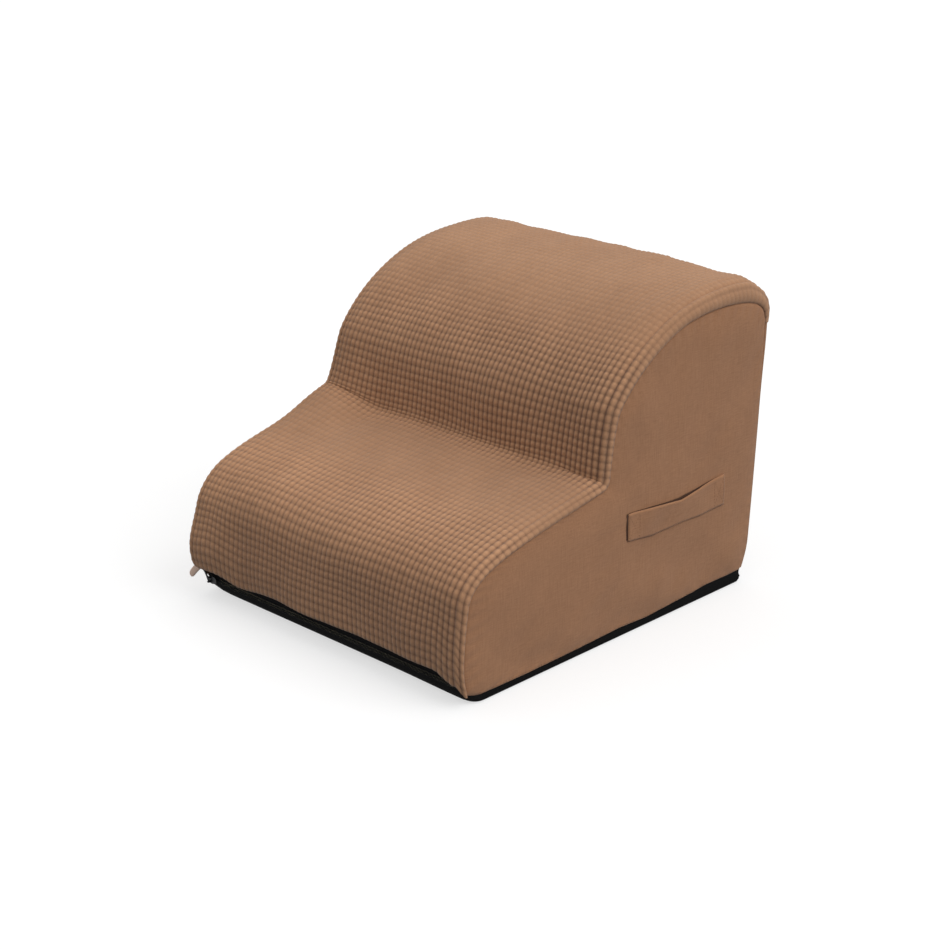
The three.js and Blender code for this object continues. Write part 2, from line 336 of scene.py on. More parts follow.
def frame_points(x, y, z):
    """Points in the shared frame from x and the profile's y and z."""
    x, y, z = np.broadcast_arrays(x, y + FRONT_Y, z)
    return np.stack([x, y, z], -1)


def dress(obj, key):
    obj.data.materials.clear()
    obj.data.materials.append(MATERIALS[key])
    return obj


def place(obj, key, body, slot, *nodes):
    """Gives a piece its material and body, and says which CAD parts it replaces; slot is not used."""
    dress(obj, key)
    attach(obj, body)
    if nodes:
        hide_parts(*nodes)


def sided(name, side):
    """A part's name on the right (1) or on the left (-1)."""
    return name + ("_right" if side > 0 else "_left")


# Materials


class Nodes:
    """Short names for building the node tree of a material or a world."""

    def __init__(self, owner):
        owner.use_nodes = True
        self.owner = owner
        self.tree = owner.node_tree

    @classmethod
    def of_material(cls, name):
        return cls(bpy.data.materials.new(name))

    def add(self, kind, inputs=None, **settings):
        node = self.tree.nodes.new(kind)
        for key, value in settings.items():
            setattr(node, key, value)
        for key, value in (inputs or {}).items():
            self.feed(node.inputs[key], value)
        return node

    def feed(self, socket, value):
        if isinstance(value, bpy.types.NodeSocket):
            self.tree.links.new(value, socket)
        else:
            socket.default_value = value

    def position(self):
        return self.add("ShaderNodeTexCoord").outputs["Object"]

    def math(self, operation, a, b=0.0, c=0.0):
        return self.add("ShaderNodeMath", {0: a, 1: b, 2: c}, operation=operation).outputs[0]

    def times(self, a, b):
        return self.math("MULTIPLY", a, b)

    def plus(self, a, b):
        return self.math("ADD", a, b)

    def noise(self, vector, scale, detail=2.0, roughness=0.5):
        inputs = {"Vector": vector, "Scale": scale, "Detail": detail, "Roughness": roughness}
        return self.add("ShaderNodeTexNoise", inputs).outputs["Fac"]

    def stretch(self, vector, scale):
        inputs = {"Vector": vector, "Scale": scale}
        return self.add("ShaderNodeMapping", inputs).outputs[0]

    def ramp(self, fac, low, high, start=0.0, end=1.0):
        node = self.add("ShaderNodeValToRGB", {"Fac": fac})
        for element, position, color in zip(node.color_ramp.elements, (start, end), (low, high)):
            element.position = position
            element.color = (*color, 1)
        return node.outputs[0]

    def mix(self, fac, a, b):
        node = self.add("ShaderNodeMix", data_type="RGBA")
        for socket, value in zip((node.inputs[0], node.inputs[6], node.inputs[7]), (fac, a, b)):
            self.feed(socket, value)
        return node.outputs[2]

    def bump(self, height, distance, strength):
        inputs = {"Height": height, "Distance": distance, "Strength": strength}
        return self.add("ShaderNodeBump", inputs).outputs[0]

    def finish(self, color, roughness, normal=None, sheen=0.0, metallic=0.0, specular=0.5):
        """Sets the material's shader and gives the material."""
        shader = self.tree.nodes["Principled BSDF"]
        self.feed(shader.inputs["Base Color"], color)
        self.feed(shader.inputs["Roughness"], roughness)
        shader.inputs["Sheen Weight"].default_value = sheen
        shader.inputs["Sheen Roughness"].default_value = 0.5
        shader.inputs["Metallic"].default_value = metallic
        shader.inputs["Specular IOR Level"].default_value = specular
        if normal is not None:
            self.feed(shader.inputs["Normal"], normal)
        return self.owner


def zone_share(n, row, edges):
    """The same as zone(), as nodes, from the number of rows before a place."""
    rows = [float(v) for v in np.interp(edges, TOP.arc, ROWS_BEFORE)]
    sides = []
    for low, high in (rows[:2], rows[2:]):
        inputs = {"Value": row, "From Min": low, "From Max": high}
        sides.append(n.add("ShaderNodeMapRange", inputs, interpolation_type="SMOOTHSTEP").outputs[0])
    return n.math("SUBTRACT", *sides)


def groove_along(n, run, sharp, share):
    """Darkness of parallel grooves: share on their lines and 0 midway between them."""
    off = n.math("ABSOLUTE", n.math("SUBTRACT", n.math("FRACT", run), 0.5))
    return n.times(n.math("POWER", n.times(off, 2.0), sharp), share)


def waffle_grooves(n, position, column, row, tread, top):
    """Darkness of all grooves, painted shade that is partly the yarn's own darker colour; fainter on the
    tread and the top, which face the light.
    """
    facing_light = n.math("MULTIPLY_ADD", tread, 0.8, top)
    riser = zone_share(n, row, RISER_ZONE)
    across = n.add("ShaderNodeSeparateXYZ", {"Vector": position}).outputs["X"]
    # Painted shade is strongest on the riser, which the light only grazes, and grows towards the right
    column_share = n.math("MULTIPLY_ADD", riser, 0.2, n.math("MULTIPLY_ADD", facing_light, -0.55, 0.7))
    column_share = n.times(column_share, n.math("MULTIPLY_ADD", across, 1.5, 1.0))
    row_share = n.math("MULTIPLY_ADD", facing_light, -0.36, 0.6)
    return n.plus(groove_along(n, column, 1.7, column_share), groove_along(n, row, 2.2, row_share))


def waffle_material():
    n = Nodes.of_material("waffle_cloth")
    uv = n.add("ShaderNodeUVMap", uv_map="weave").outputs[0]
    position = n.position()
    column, row, _ = n.add("ShaderNodeSeparateXYZ", {"Vector": uv}).outputs
    tread, top = zone_share(n, row, TREAD_ZONE), zone_share(n, row, TOP_ZONE)
    # Painted shade: the tread and the top, which face up into the light, are darkened towards near black
    painted_top_shade = n.math("MULTIPLY_ADD", tread, 0.23, n.times(top, 0.2))
    yarn = n.noise(position, 900, 3)
    groove = waffle_grooves(n, position, column, row, tread, top)
    groove = n.plus(groove, n.times(n.math("SUBTRACT", yarn, 0.5), 0.7))
    each = n.add("ShaderNodeVectorMath", {0: uv}, operation="FLOOR").outputs[0]
    cells = n.add("ShaderNodeTexWhiteNoise", {"Vector": each}).outputs[0]
    light = n.ramp(cells, (0.505, 0.264, 0.138), (0.565, 0.298, 0.158))
    patches = n.ramp(n.noise(position, 14, 2), (0.495, 0.257, 0.132), (0.585, 0.312, 0.165), 0.35, 0.65)
    light = n.mix(0.5, light, patches)
    light = n.mix(painted_top_shade, light, (0.05, 0.026, 0.014, 1))
    # The grooves get painted shade towards a dark brown, partly the yarn's own darker colour in the
    # valleys
    color = n.mix(n.times(groove, 0.8), light, (0.2, 0.103, 0.056, 1))
    height = n.plus(yarn, n.noise(position, 2600, 2))
    return n.finish(color, 0.92, n.bump(height, 0.0003, 0.7), sheen=0.12)


def linen_material(name, light, dark, distance=0.0004, strength=0.5, **finish):
    """A fine plain weave with uneven yarns; distance and strength are its bump's."""
    n = Nodes.of_material(name)
    position = n.position()
    warp = n.noise(n.stretch(position, (1400, 1400, 60)), 1, 2)
    weft = n.noise(n.stretch(position, (90, 90, 1400)), 1, 2)
    yarns = n.plus(n.times(warp, 0.5), n.times(weft, 0.5))
    patches = n.noise(position, 25, 3)
    tone = n.plus(n.times(yarns, 0.8), n.times(patches, 0.2))
    color = n.ramp(tone, dark, light, 0.38, 0.62)
    return n.finish(color, 0.9, n.bump(yarns, distance, strength), **finish)


def foam_material(name, light, dark):
    n = Nodes.of_material(name)
    position = n.position()
    pores = n.add("ShaderNodeTexVoronoi", {"Vector": position, "Scale": 900}).outputs["Distance"]
    patches = n.noise(position, 18, 3)
    tone = n.plus(n.times(pores, 0.6), n.times(patches, 0.6))
    color = n.ramp(tone, dark, light, 0.25, 0.7)
    return n.finish(color, 0.95, n.bump(pores, 0.0006, 0.6))


def rubber_material():
    n = Nodes.of_material("grip_rubber")
    grain = n.noise(n.position(), 1500, 2)
    color = n.ramp(grain, (0.02, 0.02, 0.022), (0.035, 0.035, 0.038))
    return n.finish(color, 0.6, n.bump(grain, 0.0001, 0.5))


def tape_material():
    n = Nodes.of_material("zip_tape")
    yarns = n.noise(n.stretch(n.position(), (1600, 1600, 500)), 1, 1)
    color = n.ramp(yarns, (0.0015, 0.0015, 0.0016), (0.006, 0.006, 0.0065), 0.3, 0.7)
    return n.finish(color, 0.9, n.bump(yarns, 0.0003, 0.8), specular=0.12)


def plain_material(name, light, dark, roughness, grain=1200, metallic=0.0, specular=0.5):
    n = Nodes.of_material(name)
    fine = n.noise(n.position(), grain, 3)
    rough = n.math("MULTIPLY_ADD", fine, 0.2, roughness - 0.1)
    color = n.ramp(fine, dark, light, 0.3, 0.7)
    return n.finish(color, rough, n.bump(fine, 0.00008, 0.5), metallic=metallic, specular=specular)


MATERIALS = {
    "waffle": waffle_material(),
    "side": linen_material("side_cloth", (0.412, 0.2, 0.096), (0.326, 0.152, 0.07), sheen=0.1),
    "lining": linen_material("lining_cloth", (0.72, 0.68, 0.6), (0.6, 0.56, 0.49), sheen=0.1),
    "foam": foam_material("foam_firm", (0.8, 0.72, 0.5), (0.6, 0.52, 0.34)),
    "soft": foam_material("foam_soft", (0.86, 0.83, 0.72), (0.7, 0.66, 0.55)),
    "base": linen_material(
        "base_cloth", (0.004, 0.004, 0.0044), (0.0015, 0.0015, 0.0016), 0.0003, 0.6, specular=0.12
    ),
    "rubber": rubber_material(),
    "tape": tape_material(),
    "coil": plain_material("zip_coil", (0.009, 0.009, 0.01), (0.004, 0.004, 0.005), 0.5, specular=0.2),
    "metal": plain_material("zip_metal", (0.03, 0.03, 0.032), (0.015, 0.015, 0.016), 0.35, metallic=0.7),
    "pull": plain_material("pull_tab", (0.98, 0.72, 0.58), (0.92, 0.64, 0.5), 0.6, specular=0.3),
    "thread": plain_material("thread", (0.38, 0.195, 0.1), (0.28, 0.14, 0.07), 0.8, grain=3000),
    # Painted shade: a dark sheet for the shadowed gaps behind the carry handles
    "shade": plain_material("painted_strap_shadow", (0.1, 0.048, 0.026), (0.07, 0.033, 0.018), 0.9, grain=900),
}


# The waffle strip


def ribs(count, per, sharp, share):
    """Height along a run of cells: 1 on the middle of each cell and lower by share in the grooves."""
    across = np.abs(2 * ((np.arange(count * per + 1) / per) % 1) - 1)
    return 1 - share * across**sharp


def surface_normals(points):
    return unit(np.cross(np.gradient(points, axis=1), np.gradient(points, axis=0)))


def cell_heights(per_s, per_x):
    """Height of every cell, a little uneven, at each point of the strip's grid."""
    rng = np.random.default_rng(5)
    each = np.kron(1 + 0.12 * rng.standard_normal((ROWS, CELLS_ACROSS)), np.ones((per_s, per_x)))
    return np.pad(each, ((0, 1), (0, 1)), mode="edge") * WAFFLE_DEPTH


def build_strip():
    per_x, per_s = 5, 4
    u = np.arange(CELLS_ACROSS * per_x + 1) / per_x
    v = np.arange(ROWS * per_s + 1) / per_s
    x0 = (u * CELL_X - STRIP_HALF)[None, :]
    s0 = np.interp(v, ROWS_BEFORE, TOP.arc)[:, None]
    inner = 1 - smoothstep(np.abs(x0), 150 * MM, 190 * MM)
    x = x0 + inner * 0.9 * MM * ripple(x0, s0, 11, 0.16)
    points = frame_points(x, *cloth(x, woven_length(x0, s0)))
    normal = surface_normals(points)
    relief = ribs(ROWS, per_s, 2, 0.7)[:, None] * ribs(CELLS_ACROSS, per_x, 1.5, 1.0)[None, :]
    relief = cell_heights(per_s, per_x) * relief * (1 - 0.4 * pressed(s0))
    uv = np.stack(np.broadcast_arrays(u[None, :], v[:, None]), -1)
    points, uv = folded(points + normal * relief[:, :, None], uv, normal)
    obj = grid_object("top_strip_cloth", points, uv)
    place(obj, "waffle", "cover", "waffle_cloth", "top_strip")


def folded(points, uv, normal):
    """Turns both ends of a strip of cloth in, as a hem is."""
    fold = ((0.6, 0.8), (1.4, 1.0), (2.2, 0.2), (2.3, -4.0))
    front, back = [], []
    for depth, ahead in fold:
        for rows, end, beside in ((front, 0, 1), (back, -1, -2)):
            along = unit(points[end] - points[beside])
            rows.append(points[end] + along * ahead * MM - normal[end] * depth * MM)
    points = np.concatenate([np.array(front[::-1]), points, np.array(back)])
    uv = np.concatenate([np.repeat(uv[:1], len(fold), 0), uv, np.repeat(uv[-1:], len(fold), 0)])
    return points, uv


# Seams: two raised beads along the waffle strip, and plain ones down the back


def build_ridge(side):
    """The waffle strip's edge: two beads that curl over to the side panel."""
    v = np.arange(0, ROWS + 0.01, 0.25)[:, None]
    s0 = np.interp(v, ROWS_BEFORE, TOP.arc)
    q = np.linspace(0, 1, 17)[None, :]
    across = RIDGE_START + (RIDGE_END - RIDGE_START) * np.sin(q * math.pi / 2) ** 0.85
    s = woven_length(side * across, s0 + 0 * q)
    start = crown(RIDGE_START, s)
    lift = start - (start + RIDGE_DROP) * (1 - np.cos(q * math.pi / 2))
    ending = smoothstep(s0, TOP.length - 16 * MM, TOP.length)
    cells = 0.8 - 0.2 * np.cos(math.tau * v)
    bead = BEAD * (1 - 0.7 * ending) * np.abs(np.sin(math.tau * q)) ** 0.8 * cells
    x = across + bead * np.sin(q * math.pi / 2)
    lift = lift + bead * np.cos(q * math.pi / 2) - 0.9 * MM * ending * q
    s = np.concatenate([s[:, :1], s, s[:, -1:], s[:, -1:]], 1)
    points = seam_points(side, *tucked(x, lift), s)
    uv_x = np.concatenate([[0], 2 * q[0], [2, 2]])[None, :] * np.ones_like(v)
    uv = np.stack([uv_x, v * np.ones_like(uv_x)], -1)
    name = sided("seam_ridge", side)
    obj = grid_object(name + "_cloth", points, uv, flip=side < 0)
    place(obj, "waffle", "cover", "side_cloth", name)


def seam_points(side, x, lift, s):
    """Points of a seam at arc lengths s, lifted off its side's line."""
    y, z, ny, nz = SEAM_LINE[side].at(s)
    return frame_points(side * x, y + ny * lift, z + nz * lift)


def tucked(x, lift):
    """Runs a seam's cloth on under what lies beside it: one more column first and two more last."""
    first = (x[:, :1] - 1.5 * MM, lift[:, :1] - 1.6 * MM)
    under = (x[:, -1:] - 1.2 * MM, lift[:, -1:] - 0.9 * MM)
    last = (x[:, -1:] - 3.2 * MM, lift[:, -1:] - 0.6 * MM)
    return tuple(np.concatenate([a, b, c, d], 1) for a, b, c, d in zip(first, (x, lift), under, last))


def build_back_seam(side):
    """Plain seam between a side panel and the back panel."""
    s = np.linspace(TOP.length - 18 * MM, WHOLE.length - BACK_HEM, 100)[:, None]
    q = np.linspace(0, 1, 11)[None, :] * math.pi / 2
    fade = smoothstep(s, TOP.length, TOP.length + 90 * MM)
    start = (crown(RIDGE_START, np.minimum(s, TOP.length)) - 0.5 * MM) * (1 - fade) + 1.6 * MM * fade
    first = RIDGE_START - 5 * MM
    x = first + (SIDE - (0.2 + 0.4 * fade) * MM - first) * np.sin(q) ** 0.9
    x, lift = tucked(x, start - (start + RIDGE_DROP) * (1 - np.cos(q)))
    points = seam_points(side, x, lift, s + 0 * x)
    name = sided("seam_ridge", side)
    obj = grid_object(name + "_back_cloth", points, flip=side < 0)
    place(obj, "side", "cover", "side_cloth", name)


# Side and back panels

# Lower edge of a side panel (y, z)
HEM = np.array([
    (2, 9.5), (10, 7.2), (23, 6.8), (50, 6.3), (74, 6), (145, 7), (218, 9),
    (257, 7.2), (296, 9), (336, 11), (356, 13), (397, 13.5), (420, 14.5),
]) * MM
SEAM_POINTS = 620
HEM_POINTS = 160
PANEL_INSET = 2.6 * MM
PANEL_HUB = np.array([290, 120]) * MM
# Size of each ring of a panel, as a share of its outline, and the ring that is stitched
RINGS = np.array([
    0.12, 0.25, 0.38, 0.5, 0.6, 0.69, 0.77, 0.83, 0.88, 0.92, 0.95, 0.97, 0.98, 0.988, 0.994, 1.0,
])
STITCHED_RING = -5
BACK_HALF = 192 * MM


def panel_outline(side):
    """Closed outline (y, z) of a side panel, from the front hem over the top to the back foot."""
    start = -12 * MM if side > 0 else 12 * MM
    y, z, ny, nz = SEAM_LINE[side].at(np.linspace(start, WHOLE.length - BACK_HEM, SEAM_POINTS))
    y, z = y - ny * PANEL_INSET, z - nz * PANEL_INSET
    hem = np.linspace(y[-1] - 1.5 * MM, max(y[0], 2 * MM) + 1 * MM, HEM_POINTS)
    return np.concatenate([y, hem]), np.concatenate([z, np.interp(hem, *HEM.T)])


def panel_height(y, z, depth):
    """x of the stuffed side panel; depth is 0 at its outline and 1 in its middle."""
    edge = 2.0 * (1 - smoothstep(depth, -0.004, 0.025)) ** 2
    waves = smoothstep(depth, 0, 0.15) * (0.7 * ripple(y, z, 21, 0.12) + 0.25 * ripple(y, z, 22, 0.05))
    full = 4.2 * (1 - (1 - depth) ** 5) + 1.9 * smoothstep(y, 330 * MM, 425 * MM)
    return SIDE + (full - 2 - edge + waves) * MM


def rounded_loop(values, depth):
    """One coordinate of the closed outline with its corners rounded more the deeper the ring."""
    waves = np.fft.rfft(values)
    order = np.arange(len(waves))
    return np.fft.irfft(waves * np.exp(-((order * depth / 9) ** 2)), len(values))


def panel_sheet(name, side, height, inset=0.0):
    """A sheet of rings round the hub that fills a side's outline, and its rings.

    height gives x from y, z and the depth inside the outline.
    """
    ring_y, ring_z = (
        hub + (1 - inset) * np.array([(rounded_loop(values, 1 - ring) - hub) * ring for ring in RINGS])
        for values, hub in zip(panel_outline(side), PANEL_HUB)
    )
    rings = frame_points(side * height(ring_y, ring_z, 1 - RINGS[:, None]), ring_y, ring_z)
    hub_y, hub_z = PANEL_HUB[:1], PANEL_HUB[1:]
    middle = frame_points(side * height(hub_y, hub_z, 1.0), hub_y, hub_z)
    count = rings.shape[1]
    faces = grid_faces(len(RINGS), count, flip=side > 0, closed=True)
    fan = [(len(RINGS) * count, k, (k + 1) % count) for k in range(count)]
    faces += [face[::-1] for face in fan] if side < 0 else fan
    return make_object(name, np.vstack([rings.reshape(-1, 3), middle]), faces), rings


def puckered(y, z, depth):
    """The side panel with small puckers along its seam."""
    wave = np.sin(math.tau * np.arange(y.shape[-1]) / 9)
    near_seam = smoothstep(depth, 0, 0.02) * (1 - smoothstep(depth, 0.03, 0.1))
    return panel_height(y, z, depth) + 0.25 * MM * wave * near_seam


def quilting(a, b):
    """Height of a quilt's diamonds: 0 on the stitch lines and 1 in their middles."""
    return np.abs(np.sin(math.pi * (a + b) / QUILT_PITCH) * np.sin(math.pi * (a - b) / QUILT_PITCH))


def quilted_wall(y, z, depth):
    """The hood's thin quilted side wall, between the foam and the panel."""
    return SIDE - 3.7 * MM + 0.25 * MM * (quilting(y, z) - 0.5) + 0 * depth


def build_side(side):
    name = sided("side_panel", side)
    obj, rings = panel_sheet(name + "_cloth", side, puckered)
    place(obj, "side", "cover", "side_cloth", name)
    hem = rings[STITCHED_RING, SEAM_POINTS + 8 : -6]
    stitch(name + "_stitches", hem, np.array([side, 0, 0]))
    wall, _ = panel_sheet(sided("cover_lining", side), side, quilted_wall, 0.02)
    place(wall, "lining", "cover", "lining_cloth", "cover_lining")


def build_back():
    x = np.linspace(-BACK_HALF, BACK_HALF, 65)[None, :]
    s = np.linspace(-5 * MM, REAR.length - BACK_HEM + 1.5 * MM, 60)[:, None]
    y, z, ny, nz = REAR.at(s)
    inner = 1 - np.abs(x / BACK_HALF) ** 4
    top = 1 - smoothstep(s, 0, 110 * MM)
    waves = 0.6 * ripple(x, s, 31, 0.13) + 0.15 * ripple(x, s, 32, 0.05)
    lift = top * (crown(x, TOP.length) - 1.6 * MM) + (1 - top) * (inner * (4 + waves) - 0.6) * MM
    points = frame_points(x, y + ny * lift, z + nz * lift)
    obj = grid_object("back_panel_cloth", points)
    place(obj, "side", "cover", "side_cloth", "back_panel")
    stitch("back_panel_stitches", points[-4], np.array([0, 1, 0]))


# Stitching

THREAD_AROUND = 6
# Height of a stitch along its length, in thread radii
STITCH_RISE = 0.9 * np.array([-0.6, 0.7, 1.0, 0.7, -0.6])


def thread(spine, outward, radius):
    """Points of a short thread round a straight, rising spine, in rings."""
    ahead = unit(spine[-1] - spine[0])
    across = unit(np.cross(ahead, outward))
    up = np.cross(across, ahead)
    angles = np.arange(THREAD_AROUND)[:, None] * math.tau / THREAD_AROUND
    ring = radius * (np.cos(angles) * across + np.sin(angles) * up)
    return (spine[:, None, :] + ring[None, :, :]).reshape(-1, 3)


def stitch(name, path, outward, length=3.4 * MM, gap=1.2 * MM, radius=0.28 * MM):
    """Thread stitches that dip into the cover's cloth along a path of points."""
    arc = arc_lengths(path)
    count = int(arc[-1] / (length + gap))
    faces = tube_faces(len(STITCH_RISE), THREAD_AROUND)
    pieces = []
    for k in range(count):
        where = k * arc[-1] / count + np.linspace(0, 1, len(STITCH_RISE)) * length
        spine = np.column_stack([np.interp(where, arc, path[:, i]) for i in range(3)])
        spine = spine + outward * (STITCH_RISE * radius)[:, None]
        pieces.append((thread(spine, outward, radius), faces))
    place(make_object(name, *joined(pieces)), "thread", "cover", "side_cloth")


# Carry handles

HANDLE_FRONT, HANDLE_BACK = 219 * MM, 374 * MM
HANDLE_SEWN = 17 * MM
HANDLE_THICK = 1.6 * MM
# Lower and upper edge of the strap (y, z, z)
HANDLE_EDGES = np.array([
    (219, 106, 136), (259, 101.5, 134), (298, 103.5, 130.5), (337, 102, 135), (374, 103, 138),
]) * MM


def handle_lift(y, share):
    """Gap between strap and panel: sewn flat at both ends, slack between them."""
    free = smoothstep(y, HANDLE_FRONT + 2 * MM, HANDLE_FRONT + 45 * MM)
    free = free * (1 - smoothstep(y, HANDLE_BACK - 60 * MM, HANDLE_BACK - 6 * MM))
    slack = 0.4 + 1.5 * share + 0.7 * share * bump(y, 300 * MM, 14 * MM)
    return 0.4 * MM + free * slack * MM


def handle_heights(y):
    """Heights of the strap's lower and upper edge."""
    return [np.interp(y, HANDLE_EDGES[:, 0], HANDLE_EDGES[:, k]) for k in (1, 2)]


def handle_middle(y, share):
    """Middle (x, z) of the strap's thickness at a share of its height."""
    low, high = handle_heights(y)
    z = low + (high - low) * share
    return panel_height(y, z, 0.6) + handle_lift(y, share) + HANDLE_THICK / 2, z


def build_handle(side):
    rows = 90
    y = np.linspace(HANDLE_FRONT, HANDLE_BACK, rows)[:, None]
    share = np.linspace(0, 1, 22)
    off = np.abs(share - 0.5)
    half = np.sqrt(np.clip(1 - np.clip((off - 0.455) / 0.045, 0, 1) ** 2, 0, 1))
    half = half * (1 + 0.18 * bump(off, 0.40, 0.04)) * 0.5 * HANDLE_THICK
    ends = np.ones((rows, 1))
    ends[[0, -1]] = 0.35
    ends[[1, -2]] = 0.85
    x, z = handle_middle(y, share[None, :])
    outer, inner = x + half * ends, x - half * ends
    loop_x, loop_z = (np.concatenate([a, b[:, -2:0:-1]], 1) for a, b in ((outer, inner), (z, z)))
    name = sided("handle", side)
    faces = tube_faces(rows, loop_x.shape[1], flip=side < 0)
    obj = make_object(name + "_strap", frame_points(side * loop_x, y, loop_z), faces)
    place(obj, "side", "cover", "side_cloth", name)
    build_strap_gap_shade(side, name)
    stitch_handle(side, name)


def build_strap_gap_shade(side, name):
    """Painted shade: a dark sheet behind the strap that stands for the shadowed gap along its top edge
    and front end.
    """
    y = np.linspace(HANDLE_FRONT - 1.7 * MM, HANDLE_BACK - 6 * MM, 70)[:, None]
    peek = 0.35 + 1.1 * bump(y, 302 * MM, 20 * MM)
    peek = peek - 0.6 * smoothstep(y, HANDLE_BACK - 60 * MM, HANDLE_BACK)
    down = np.linspace(0, 1, 14)[None, :]
    low, high = handle_heights(y)
    top = high + peek * MM
    z = top + (low + 1.5 * MM - top) * down
    x = panel_height(y, z, 0.6) + 0.9 * MM * (1 - 0.7 * down)
    obj = grid_object(name + "_under", frame_points(side * x, y, z), flip=side < 0)
    place(obj, "shade", "cover", "side_cloth", name)


def stitch_handle(side, name):
    """A line of stitches along both edges, and a crossed box at each end."""
    outward = np.array([side, 0, 0])
    low, high = 0.09, 0.91
    front, back = HANDLE_FRONT + 2 * MM, HANDLE_BACK - 2 * MM

    def line(y0, share0, y1, share1):
        y = np.linspace(y0, y1, 40)
        x, z = handle_middle(y, np.linspace(share0, share1, 40))
        return frame_points(side * (x + HANDLE_THICK * 0.47), y, z)

    paths = [line(front, share, back, share) for share in (low, high)]
    for near, far in ((front, HANDLE_FRONT + HANDLE_SEWN), (HANDLE_BACK - HANDLE_SEWN, back)):
        paths += [line(near, low, near, high), line(far, low, far, high)]
        paths += [line(near, low, far, high), line(near, high, far, low)]
    for k, path in enumerate(paths):
        stitch(f"{name}_stitches_{k}", path, outward, 2.4 * MM, 0.8 * MM, 0.2 * MM)


# Inner parts


def remeshed(node, name, voxel):
    """A copy of a CAD part as one even, rounded skin."""
    source = bpy.data.objects[node]
    copy = linked(bpy.data.objects.new(name, source.data.copy()))
    copy.matrix_world = source.matrix_world
    remesh = copy.modifiers.new("voxels", "REMESH")
    remesh.mode = "VOXEL"
    remesh.voxel_size = voxel
    smooth = copy.modifiers.new("smooth", "SMOOTH")
    smooth.factor = 0.5
    smooth.iterations = 6
    view = bpy.context.evaluated_depsgraph_get()
    mesh = bpy.data.meshes.new_from_object(copy.evaluated_get(view))
    copy.modifiers.clear()
    copy.data = mesh
    mesh.transform(copy.matrix_world)
    copy.matrix_world.identity()
    mesh.shade_smooth()
    return copy


def coordinates(mesh):
    flat = np.zeros(len(mesh.vertices) * 3, np.float32)
    mesh.vertices.foreach_get("co", flat)
    return flat.reshape(-1, 3).astype(float)


def set_coordinates(mesh, points):
    mesh.vertices.foreach_set("co", points.astype(np.float32).ravel())
    mesh.update()


def profile_depth(points, stride=3, batch=4000):
    """Arc length of each point and its height over the seam profile."""
    flat = points[:, 1:] - np.array([FRONT_Y, 0])
    line, normals = WHOLE.points[::stride], WHOLE.normals()[::stride]
    arcs, heights = [], []
    for start in range(0, len(flat), batch):
        apart = flat[start : start + batch, None, :] - line[None, :, :]
        near = (apart**2).sum(2).argmin(1)
        arcs.append(WHOLE.arc[::stride][near])
        heights.append((apart[np.arange(len(near)), near] * normals[near]).sum(1))
    return np.concatenate(arcs), np.concatenate(heights)


def build_lining():
    """Quilted hood lining, kept under the cloth of the cover."""
    obj = remeshed("cover_lining", "cover_lining_quilt", 3.6 * MM)
    points = coordinates(obj.data)
    arc, height = profile_depth(points)
    over_top = crown(points[:, 0], np.minimum(arc, TOP.length))
    roof = np.where(arc < TOP.length, over_top, 1.5 * MM) - 3.2 * MM
    ny, nz = (np.interp(arc, WHOLE.arc, v) for v in WHOLE.normals().T)
    inside = (height < roof - 5 * MM) & (height > -16 * MM) & (np.abs(points[:, 0]) < 186 * MM)
    quilt = inside * 1.6 * MM * (quilting(points[:, 0], arc) ** 0.5 - 0.6)
    lower = np.clip(height - roof, 0, 8 * MM) - quilt
    points[:, 1] -= ny * lower
    points[:, 2] -= nz * lower
    points[:, 0] = np.clip(points[:, 0], -SIDE + 3.6 * MM, SIDE - 3.6 * MM)
    nose = points[:, 1] - FRONT_Y < 12 * MM
    points[nose, 2] = np.maximum(points[nose, 2], 35 * MM)
    set_coordinates(obj.data, points)
    place(obj, "lining", "cover", "lining_cloth", "cover_lining")


# Inner face of the tray's nose (y, z), which the foam stays above
TRAY_NOSE = np.array([(-6, 10.5), (-4.2, 7.6), (-0.5, 5.2), (4, 3.4), (8.5, 1.6)]) * MM


def build_foam(node, slot, key):
    obj = remeshed(node, node + "_block", 4 * MM)
    points = coordinates(obj.data)
    x, y = points[:, 0], points[:, 1] - FRONT_Y
    under = np.interp(y, *TRAY_NOSE.T) + corner_rise(x, y) + 1.9 * MM
    points[:, 2] = np.maximum(points[:, 2], under)
    soft = 0.5 * ripple(points[:, 0] + points[:, 2], points[:, 1], 41, 0.07) * MM
    points[:, 2] += soft * smoothstep(points[:, 2], 20 * MM, 60 * MM)
    set_coordinates(obj.data, points)
    place(obj, key, "base_and_foam", slot, node)


# Base tray


def rounded_plan(half, front, back, radius):
    """Outline (x, y) of a rectangle, anticlockwise, with its roundest corner at the front left."""
    corners = ((half, back, -0.5), (-half, back, -0.5), (-half, front, 1), (half, front, 0.6))
    arcs = []
    for k, (x, y, share) in enumerate(corners):
        r = radius * abs(share)
        centre = np.array([x - math.copysign(r, x), y + radius * share])
        angle = k * math.pi / 2 + np.linspace(0, math.pi / 2, 12)
        arcs.append(centre + r * np.column_stack([np.cos(angle), np.sin(angle)]))
    share = (0.5 - 0.5 * np.cos(np.linspace(0, math.pi, 18)[1:-1]))[:, None]
    runs = []
    for arc, following in zip(arcs, arcs[1:] + arcs[:1]):
        runs += [arc, arc[-1] + (following[0] - arc[-1]) * share]
    return np.vstack(runs)


def corner_rise(x, y):
    """The front left corner of the foot is pulled up by the cover."""
    return 4.5 * MM * smoothstep(-x, 160 * MM, 196 * MM) * (1 - smoothstep(y, 5 * MM, 60 * MM))


def corner_reach(x, y):
    """Share of the nose's tuck that is missing at the front right corner of the foot."""
    return 0.4 * smoothstep(x, 70 * MM, 185 * MM) * (1 - smoothstep(y, 5 * MM, 50 * MM))


def ring_run(levels):
    """Stacks plan outlines; each level is (half, front, back, radius, z, tuck)."""
    rings = []
    for *plan, z, tuck in levels:
        x, y = rounded_plan(*plan).T
        forward = tuck * corner_reach(x, y - plan[1])
        rings.append(np.column_stack([x, y - forward + FRONT_Y, z + corner_rise(x, y)]))
    return np.array(rings)


